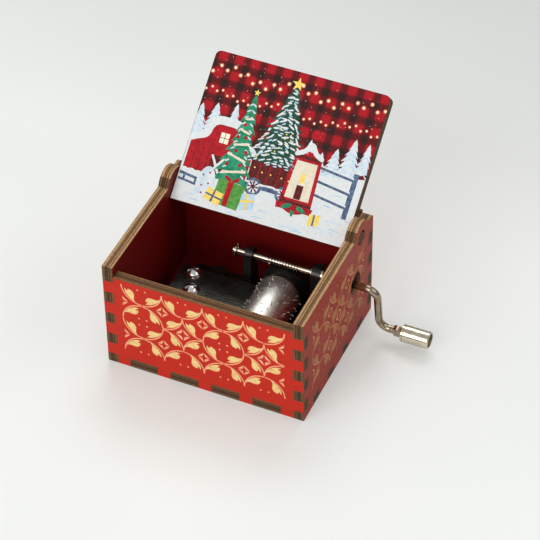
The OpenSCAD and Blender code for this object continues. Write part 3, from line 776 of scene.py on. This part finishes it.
def lay_print(name, parts):
    """One piece, riding on the lid. parts are (outlines, ink, height in thousandths of a millimetre)."""
    leaves, tallest = [], 0
    for outlines, ink, height in parts:
        held = [[(max(-SIDE, min(SIDE, x)), max(LOWEST, min(HIGHEST, y)), sharp) for x, y, sharp in outline]
                for outline in outlines]
        for sub, level in enumerate(keep_apart(held)):
            tallest = max(tallest, height + sub)
            leaf = flat_shape(name, level, (height + sub) * THOUSANDTH, INK, inner)
            leaf.data.materials.clear()
            leaf.data.materials.append(ink)
            leaves.append(leaf)
    pick(*leaves)
    bpy.ops.object.join()
    piece = bpy.context.object
    piece.name = piece.data.name = name
    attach(piece, "lid")
    print(name, "faces:", len(piece.data.polygons), "top at", tallest, "thousandths of a millimetre")


# %% [markdown]
# Most motifs are made from a handful of outlines: a fir with a ragged side, a
# disc, a stroke like a loaded brush, a star, and a plain many-cornered shape.

# %% Outlines for the print
def corners(*points):
    return [(x, y, 1) for x, y in points]


def rounded(*points):
    return [(x, y, 0) for x, y in points]


def box_outline(left, right_, bottom, top):
    return corners((left, bottom), (right_, bottom), (right_, top), (left, top))


def disc(x, y, r, points=6):
    turns = [2 * math.pi * k / points for k in range(points)]
    return [(x + r * math.cos(a), y + r * math.sin(a), 0) for a in turns]


def fir(x, top, foot, half, tiers):
    """A ragged fir: each tier juts out and tucks in again, a little unevenly."""
    sides = {-1: [], 1: []}
    for side in sides:
        for k in range(1, tiers + 1):
            share = k / tiers
            y = top + (foot - top) * share
            out = half * (0.08 + 0.92 * share) * random.uniform(0.86, 1.08)
            tucked = (x + side * out * 0.56, y + (top - foot) / tiers * 0.22, 1)
            sides[side] += [(x + side * out, y, 1), tucked]
    return [(x, top, 1)] + sides[1] + list(reversed(sides[-1]))


def stroke(x, y, length, width, degrees):
    """A short brush mark, thick in the middle."""
    c, s = math.cos(math.radians(degrees)), math.sin(math.radians(degrees))
    shape = [(-0.5, 0), (-0.15, 0.42), (0.25, 0.5), (0.5, 0.05), (0.2, -0.4), (-0.2, -0.35)]
    return [(x + a * length * c - b * width * s, y + a * length * s + b * width * c, 0) for a, b in shape]


def star(x, y, r):
    """Five points, whose inner corners stand at 0.42 of the radius."""
    spokes = [(r if k % 2 == 0 else r * 0.42, math.pi / 2 + k * math.pi / 5) for k in range(10)]
    return [(x + d * math.cos(a), y + d * math.sin(a), 1) for d, a in spokes]


SNOW = inks("snow_ink", (0.72, 0.78, 0.82), (0.56, 0.68, 0.78), 2.6)
WHITE = inks("white_ink", (0.75, 0.78, 0.78), (0.68, 0.73, 0.76), 1.2)
BLUE = inks("blue_wash", (0.42, 0.60, 0.78), (0.55, 0.72, 0.84), 1.4)
SLATE = inks("slate_ink", (0.050, 0.080, 0.150), (0.14, 0.20, 0.33), 0.9)
DARK_FIR = inks("dark_fir_ink", (0.010, 0.052, 0.038), (0.030, 0.115, 0.075), 0.7)
GREEN = inks("green_ink", (0.015, 0.20, 0.10), (0.035, 0.33, 0.18), 1.5)
LIME = inks("lime_ink", (0.12, 0.36, 0.07), (0.06, 0.24, 0.05), 0.9)
SCARLET = inks("scarlet_ink", (0.48, 0.012, 0.022), (0.33, 0.008, 0.014), 1.4)
MAROON = inks("maroon_ink", (0.080, 0.012, 0.012), (0.15, 0.020, 0.018), 0.8)
GOLD = inks("gold_ink", (0.90, 0.62, 0.10), (0.95, 0.75, 0.22), 0.8)
CREAM = inks("cream_ink", (0.83, 0.76, 0.62), (0.74, 0.66, 0.52), 1.6)
GLOW = inks("glow_ink", (0.98, 0.86, 0.62), (1.0, 0.93, 0.78), 0.5)
HALO = inks("halo_ink", (0.62, 0.11, 0.05), (0.72, 0.17, 0.07), 0.5)
print("inks mixed")

# %% [markdown]
# The fairy lights hang in two swags. Every lamp is a warm disc with a pale
# heart. They could be real emitters, but on a print they are only ink.

# %% Fairy lights
lights = []
for k in range(26):
    x = -27.6 + k * 2.22
    lights.append((x, 36.6 + 1.25 * math.sin(k * 0.62) + (0.75 if k % 2 else -0.75), 0.40))
for k in range(32):
    x = -28.0 + k * 1.80
    lights.append((x, 29.9 + 0.9 * math.sin(k * 0.5 + 1.0) + (0.45 if k % 2 else -0.45), 0.29))
flakes = [disc(random.uniform(-27.8, 27.8), random.uniform(22, 41.8), random.uniform(0.06, 0.12), 4)
          for _ in range(90)]
lay_print("print_fairy_lights", [
    (flakes, CREAM, 2), ([disc(x, y, r * 1.75) for x, y, r in lights], HALO, 4),
    ([disc(x, y, r) for x, y, r in lights], GLOW, 7)])

# %% [markdown]
# Behind the scene stand pale firs, seen through falling snow. They are the
# same outline as the big tree, only lighter and with fewer tiers. The ground
# is one broad drift with blue shadows on it, and the fence leads off right.

# %% Far firs, ground and fence
far_firs = [(-27.4, 25.8, 5.0, 7), (-22.7, 27.0, 5.2, 8), (-16.6, 28.2, 4.6, 8), (8.9, 23.8, 3.6, 6),
            (17.5, 23.2, 4.2, 7), (22.2, 27.4, 5.0, 8), (26.6, 27.0, 4.4, 8), (13.2, 21.0, 3.4, 6)]
shades = [stroke(x + side * (top - y) * 0.13, y, 1.5, 0.42, -side * 50)
          for x, top, _, _ in far_firs
          for y in (15.2, 17.0, 18.8, 20.6, 22.4) for side in (-1, 1) if y < top - 2]
lay_print("print_far_firs", [
    ([fir(x, top, 12.5, half, tiers) for x, top, half, tiers in far_firs], SNOW, 9),
    (shades, BLUE, 12)])
drift = corners((-SIDE, LOWEST), (SIDE, LOWEST), (SIDE, 16.4))
drift += rounded((22, 15.2), (15, 14.2), (8, 15.0), (0, 13.4), (-9, 14.6), (-17, 13.2), (-23, 15.0))
drift += corners((-SIDE, 16.0))
hollows = [stroke(x, y, length, 0.7, random.uniform(-8, 8)) for x, y, length in (
    (-22, -1.8, 6), (-24.5, 3.6, 5), (2.5, -0.8, 7), (3.0, 4.6, 5), (20.5, -1.4, 7),
    (22.5, 1.6, 5), (17.5, 4.2, 4), (10.5, -3.4, 8), (-9, -4.0, 9))]
cold = [stroke(x, y, length, 0.45, random.uniform(-10, 10)) for x, y, length in (
    (-25.5, 1.6, 3.4), (-21.0, -3.2, 3), (5.8, 2.2, 3.2), (19.6, 5.8, 3), (23.6, -0.6, 3.4),
    (12.5, -3.9, 4), (-0.6, -3.2, 3.2), (21.6, 9.6, 2.6), (27.0, 3.0, 2.2))]
lay_print("print_snow_ground", [([drift], WHITE, 17), (hollows, SNOW, 18), (cold, BLUE, 19)])
rails = ((12.6, 17.0, 15.6), (13.0, 12.9, 11.3), (13.4, 8.7, 7.1))
fence = [corners((a, y0), (25, y1), (25, y1 - 0.85), (a, y0 - 0.85)) for a, y0, y1 in rails]
fence.append(box_outline(24.6, 26.2, 3.4, 18.0))
caps = [corners((a, y0 + 0.35), (25, y1 + 0.35), (25, y1 - 0.1), (a, y0 - 0.1)) for a, y0, y1 in rails]
caps.append(rounded((24.4, 17.6), (25.4, 18.8), (26.4, 17.6), (25.4, 17.4)))
lay_print("print_fence", [(fence, SLATE, 20), (caps, WHITE, 23)])

# %% [markdown]
# A red barn stands on the left. Its boards are drawn as thin dark seams, its
# roof carries a thick quilt of snow, and its window is lit.

# %% Barn
walls = [corners((-27.6, 4.6), (-7.4, 4.6), (-7.4, 14.8), (-27.6, 14.8))]
gable = [corners((-25.6, 14.7), (-9.6, 14.7), (-13.4, 22.0), (-21.8, 22.0))]
seams = [box_outline(x, x + 0.22, 4.8, 14.6) for x in (-25.4, -23.2, -21.0, -14.2, -12.0, -9.8)]
quilt = [rounded(
    (-SIDE, 14.2), (-27.4, 16.2), (-24.6, 17.4), (-22.6, 22.4), (-17.6, 23.4), (-12.6, 22.4),
    (-10.4, 17.4), (-7.4, 16.2), (-6.4, 14.2), (-9.4, 14.9), (-12.6, 16.4), (-14.0, 20.2),
    (-17.6, 20.8), (-21.2, 20.2), (-22.6, 16.4), (-25.6, 14.9))]
door = [corners((-19.8, 4.7), (-15.2, 4.7), (-15.2, 11.4), (-19.8, 11.4))]
cross = [
    corners((-19.8, 4.7), (-19.2, 4.7), (-15.2, 11.0), (-15.2, 11.4), (-15.8, 11.4), (-19.8, 5.3)),
    corners((-15.2, 4.7), (-15.2, 5.3), (-19.2, 11.4), (-19.8, 11.4), (-19.8, 11.0), (-15.8, 4.7))]
window = [box_outline(-18.9, -16.1, 15.4, 18.6)]
bars = [box_outline(-17.6, -17.4, 15.4, 18.6), box_outline(-18.9, -16.1, 16.9, 17.1)]
sled = [
    corners((-28.0, 3.4), (-20.8, 2.6), (-20.6, 3.3), (-28.0, 4.3)),
    corners((-28.0, 1.6), (-20.2, 0.8), (-19.6, 1.6), (-20.2, 1.5), (-28.0, 2.3)),
    corners((-26.6, 2.2), (-25.9, 2.1), (-25.9, 3.5), (-26.6, 3.6)),
    corners((-22.8, 1.8), (-22.1, 1.7), (-22.1, 3.0), (-22.8, 3.1))]
soft_snow = [stroke(-27.2 + 2.3 * k, 5.0 + 0.3 * math.sin(3 * k), 2.9, 1.3, 0) for k in range(9)]
lay_print("print_barn", [
    (sled, SLATE, 20), (soft_snow, WHITE, 24),
    (walls, SCARLET, 20), (gable, SCARLET, 21), (seams + door, MAROON, 22), (cross, WHITE, 23),
    (window, GLOW, 23), (bars, MAROON, 25), (quilt, WHITE, 27)])

# %% [markdown]
# The big tree is a dark ragged fir with the snow laid on in brush strokes that
# droop outwards, tier by tier. Scattering them by a seeded random keeps every
# run the same. A crate with small lamps stands under it.

# %% Snowy tree
CENTRE, TIP, FOOT, HALF, TIERS = -0.3, 38.0, 12.8, 10.2, 17
crate = [corners((-7.0, 6.2), (6.4, 6.2), (7.0, 13.6), (-7.2, 13.6))]
crate_bars = [box_outline(x, x + 0.25, 6.3, 12.8) for x in (-4.2, -1.0, 2.2, 4.8)]
wheels = [disc(-4.4, 5.4, 2.7, 8), disc(5.2, 5.4, 2.4, 8)]
hubs = [disc(-4.4, 5.4, 1.9, 8), disc(5.2, 5.4, 1.65, 8)]
spokes = [stroke(x, 5.4, r, 0.42, a) for x, r in ((-4.4, 3.9), (5.2, 3.4)) for a in (0, 45, 90, 135)]
axle = [corners((-7.4, 5.0), (7.4, 5.0), (7.2, 6.4), (-7.2, 6.4))]
cart_snow = [stroke(x, 6.5 + 0.15 * math.sin(x), 3.4, 0.7, 2) for x in (-5.4, -2.4, 0.6, 3.6)]
silhouette = [fir(CENTRE, TIP, FOOT, HALF, 13)]
snow_marks, teal_marks, lamps_on = [], [], []
for tier in range(TIERS):
    share = (tier + 0.9) / 17.4
    y = TIP + (FOOT - TIP) * share
    reach_out = HALF * share * 0.93
    count = max(1, round(reach_out * 2 / 1.95))
    for k in range(count):
        x = -reach_out + (k + 0.5) * 2 * reach_out / count + random.uniform(-0.2, 0.2)
        lean = -46 * x / max(reach_out, 1.5) + random.uniform(-22, 22)
        lift = random.uniform(-0.55, 0.55)
        length = random.uniform(1.2, 2.4)
        width = random.uniform(0.36, 0.72)
        snow_marks.append(stroke(CENTRE + x, y + lift, length, width, lean))
        if random.random() < 0.6:
            teal_marks.append(stroke(CENTRE + x + 0.4, y - 0.62, 1.3, 0.42, lean))
        if random.random() < 0.14:
            lamps_on.append(disc(CENTRE + x, y - 0.5, 0.24))
crate_lamps = [disc(x, 10.4 + 1.2 * math.sin(x), 0.26) for x in (-5.6, -3.0, -0.2, 3.4, 5.8)]
lay_print("print_tree", [
    (axle, SLATE, 20), (crate, MAROON, 21), (crate_bars, SCARLET, 22), (wheels, SLATE, 22),
    (hubs, SNOW, 23), (spokes, MAROON, 24), (cart_snow, WHITE, 23), (silhouette, DARK_FIR, 25),
    (teal_marks, BLUE, 26), (snow_marks, WHITE, 27), (lamps_on, GOLD, 31), (crate_lamps, GOLD, 31),
    ([star(CENTRE, 38.6, 2.1)], GOLD, 32)])

# %% [markdown]
# In front stand a green fir with garlands and baubles, wrapped presents, a
# frosted bush, and a red lantern in a drift. Light shapes lie on dark ones so
# that each reads at the lid's small size.

# %% Green fir, presents, bush and lantern
SLIM_X, SLIM_TIP, LAMP_X = -11.9, 32.6, 9.7
slim = [fir(SLIM_X, SLIM_TIP, 4.2, 6.6, 9)]
slim_marks = [stroke(SLIM_X + side * (SLIM_TIP - y) * 0.13, y, 1.5, 0.5, -side * 34)
              for y in range(7, 31, 2) for side in (-1, 1)]
garland = [stroke(SLIM_X + lean, y, (SLIM_TIP - y) * 0.33, 0.8, slope) for y, lean, slope in (
    (8, 0.2, 14), (12.4, -0.2, -14), (16.6, 0.2, 14), (20.6, -0.1, -14), (24.6, 0.1, 14))]
baubles = [disc(SLIM_X + x, y, 0.55) for x, y in (
    (-2.6, 9.9), (1.6, 10.4), (-0.9, 14.4), (2.2, 14.6), (-1.7, 18.6), (0.8, 18.9), (-0.6, 22.6))]
slim_top = [star(SLIM_X, 32.9, 1.1)]
green_box = [corners((-15.6, -2.4), (-7.2, -3.0), (-6.4, 4.6), (-15.4, 5.2))]
green_ribbon = [corners((-12.2, -2.6), (-10.6, -2.75), (-10.4, 4.85), (-12.2, 4.95)),
                stroke(-12.7, 5.7, 2.6, 1.2, -28), stroke(-10.0, 5.6, 2.6, 1.2, 28)]
yellow_box = [corners((-18.4, -1.8), (-13.2, -3.2), (-12.4, 0.8), (-17.8, 1.8))]
yellow_bow = [corners((-16.2, -2.4), (-15.6, -2.55), (-15.0, 1.3), (-15.6, 1.4)),
              corners((-18.2, -0.4), (-12.8, -1.4), (-12.7, -0.9), (-18.1, 0.1))]
blue_box = [corners((-6.8, -2.6), (-2.2, -1.4), (-3.0, 3.4), (-7.0, 2.4))]
blue_bow = [corners((-5.0, -2.1), (-4.3, -1.95), (-4.8, 2.95), (-5.5, 2.8)),
            corners((-6.9, -0.1), (-2.5, 0.9), (-2.6, 1.5), (-6.95, 0.5))]
orange_box = [corners((15.2, -1.2), (18.6, -0.8), (18.4, 2.6), (15.0, 2.2))]
orange_bow = [corners((16.5, -1.05), (17.1, -0.98), (16.9, 2.42), (16.3, 2.35))]
bush = [rounded(
    (-22.0, 1.0), (-21.4, 5.6), (-19.0, 7.8), (-16.8, 5.4), (-16.6, 1.0), (-18.0, -1.8), (-20.8, -1.8))]
berries = [disc(x, y, 0.3) for x, y in (
    (-20.4, 4.8), (-18.6, 5.9), (-18.2, 2.6), (-20.2, 1.6), (-17.6, 0.4), (-19.6, -0.6))]
lantern = [
    rounded((8.4, 25.4), (LAMP_X, 27.0), (11.0, 25.4), (10.6, 24.2), (8.8, 24.2)),
    corners((9.2, 22.4), (10.2, 22.4), (13.6, 18.8), (5.8, 18.8)),
    corners((5.4, 18.8), (14.0, 18.8), (14.9, 3.4), (4.5, 3.4)),
    corners((3.8, 3.5), (15.6, 3.5), (15.0, 0.2), (4.4, 0.2))]
panes = [corners((6.4, 16.8), (13.0, 16.8), (13.6, 5.2), (5.8, 5.2))]
candle = [corners((8.6, 5.3), (10.8, 5.3), (10.8, 9.6), (8.6, 9.6))]
flame = [rounded((9.0, 11.0), (LAMP_X, 13.4), (10.4, 11.0), (LAMP_X, 10.1))]
lantern_snow = [
    rounded((5.0, 18.4), (7.4, 20.4), (LAMP_X, 22.9), (12.0, 20.4), (14.4, 18.4), (11.6, 18.9),
            (LAMP_X, 20.2), (7.8, 18.9)),
    rounded((2.4, -1.2), (4.6, 1.6), (LAMP_X, 0.6), (14.8, 1.6), (17.0, -1.2), (LAMP_X, -2.4))]
lay_print("print_presents", [
    (slim, GREEN, 28), (slim_marks, SNOW, 29), (garland, CREAM, 31), (baubles, SCARLET, 32),
    (slim_top, GOLD, 33), (bush, SNOW, 31), (berries, SCARLET, 33), (green_box, LIME, 33),
    (green_ribbon, SCARLET, 34), (yellow_box, GOLD, 35), (yellow_bow, SLATE, 36), (blue_box, BLUE, 35),
    (blue_bow, GOLD, 36), (orange_box, GOLD, 33), (orange_bow, SLATE, 34)])
holly = [stroke(7.4, 2.6, 3.4, 1.5, 24), stroke(12.0, 2.6, 3.4, 1.5, 156), stroke(LAMP_X, 1.2, 2.6, 1.2, 90)]
holly_dots = [disc(x, y, 0.5) for x, y in ((9.2, 2.9), (10.2, 2.9), (LAMP_X, 2.1))]
frost = [disc(LAMP_X + random.uniform(-0.5, 0.5) * (24.5 - y) * 0.62, y, 0.13, 4)
         for y in (19.2, 19.6, 20.0, 20.5, 21.0, 21.4, 21.8)]
bars_dark = [corners((5.6, 17.6), (13.8, 17.6), (13.9, 18.6), (5.5, 18.6)),
             corners((4.5, 3.5), (14.9, 3.5), (14.8, 4.4), (4.6, 4.4))]
lay_print("print_lantern", [
    (bars_dark, MAROON, 28), (frost, CREAM, 28), (holly, GREEN, 34), (holly_dots, SCARLET, 37),
    (lantern, SCARLET, 26), (panes, CREAM, 30), (candle, MAROON, 31), (flame, GOLD, 31),
    (lantern_snow, WHITE, 32)])

# %% [markdown]
# ## Metal and plastic of the movement
#
# The movement's shapes are already right, so its parts keep their meshes and
# only get finishes. Turned parts show rings round their axis, drawn wire shows
# lines along it, and the comb is ground in one direction. Each is noise that is
# squeezed on the axes it must not vary along, used for tone, gloss and relief.

# %% Metal finishes
def worked_metal(name, colour, roughness, pitch, stretch, stain=0.25, relief=0.25):
    """Tool marks pitch millimetres apart, and a soft stain over them."""
    made, tree, shader = finish(name, colour, roughness, 1.0)
    marks = noise(tree, millimetres(tree, stretch), 1 / pitch, 3.0, 0.7)
    cloud = noise(tree, millimetres(tree), 0.35, 3.0)
    dull = tuple(c * f for c, f in zip(colour, (1 - stain * 0.7, 1 - stain * 0.85, 1 - stain)))
    tone = steps(tree, cloud, [(0.38, dull), (0.62, colour)])
    lines = steps(tree, marks, [(0.3, grey(0.80)), (0.7, grey(1.0))])
    link(tree, blend_colours(tree, 1.0, tone, lines, "MULTIPLY"), shader, "Base Color")
    dullness = steps(tree, marks, [(0.25, grey(roughness * 0.7)), (0.8, grey(min(1, roughness * 1.5)))])
    link(tree, dullness, shader, "Roughness")
    bump(tree, shader, marks, relief, 0.00001)
    return made


def dress(made, *names):
    """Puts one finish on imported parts, through their objects' material slots."""
    for node in names:
        if not NODES[node].material_slots:
            NODES[node].data.materials.append(made)
        for held in NODES[node].material_slots:
            held.material = made


dress(worked_metal("drum_steel", (0.96, 0.94, 0.89), 0.38, 0.22, (0.02, 1, 0.02), 0.18), "drum_tube")
dress(worked_metal("pin_steel", (0.78, 0.77, 0.74), 0.22, 0.10, (1, 1, 1)), "drum_pins")
dress(worked_metal("cap_steel", (0.34, 0.33, 0.31), 0.30, 0.18, (1, 0.1, 1)),
      "drum_front_cap", "drum_rear_cap", "drum_arbor")
dress(worked_metal("comb_steel", (0.12, 0.123, 0.110), 0.36, 0.16, (0.03, 1, 1), 0.3, 0.35), "comb")
dress(worked_metal("screw_chrome", (0.88, 0.88, 0.87), 0.16, 0.30, (1, 1, 0.2), 0.1, 0.1),
      "comb_screws", "bridge_screws", "movement_screws")
dress(worked_metal("shaft_nickel", (0.62, 0.56, 0.50), 0.20, 0.14, (1, 0.05, 0.05), 0.35),
      "worm_shaft", "shaft_clip", "crank_bush")
dress(worked_metal("drawn_nickel", (0.47, 0.40, 0.30), 0.20, 0.25, (0.3, 0.3, 0.3), 0.45), "crank_wire")
dress(worked_metal("turned_nickel", (0.76, 0.69, 0.55), 0.17, 0.16, (1, 0.03, 0.03), 0.22), "crank_knob")
dress(worked_metal("bridge_steel", (0.30, 0.29, 0.28), 0.33, 0.15, (0.05, 1, 1)), "bearing_bridge")
dress(worked_metal("lead", (0.22, 0.22, 0.23), 0.55, 0.35, (1, 1, 1), 0.4, 0.6), "comb_weights")
print("metal parts dressed")

# %% [markdown]
# The bedplate is a die casting painted satin black, and the worm wheel is black
# plastic. A black surface only shows through its gloss, so both get a fine
# uneven grain: coarse for paint on a casting, almost none for moulded plastic.

# %% Black casting, black plastic and damper film
def black_surface(name, level, roughness, grain, relief):
    made, tree, shader = finish(name, grey(level), roughness, Specular_IOR_Level=0.4)
    speck = noise(tree, millimetres(tree), 1 / grain, 4.0, 0.65)
    tone = steps(tree, speck, [(0.35, grey(level * 0.7)), (0.7, grey(level * 1.7))])
    dullness = steps(tree, speck, [(0.3, grey(roughness - 0.08)), (0.7, grey(roughness + 0.12))])
    link(tree, tone, shader, "Base Color")
    link(tree, dullness, shader, "Roughness")
    bump(tree, shader, speck, relief, 0.00003)
    return made


dress(black_surface("black_casting", 0.009, 0.22, 0.28, 0.35), "bedplate")
dress(black_surface("black_plastic", 0.012, 0.28, 0.9, 0.12), "worm_wheel")
dress(black_surface("damper_film", 0.05, 0.7, 0.12, 0.6), "comb_dampers")
print("black parts dressed")

# %% Update the view layer
bpy.context.view_layer.update()
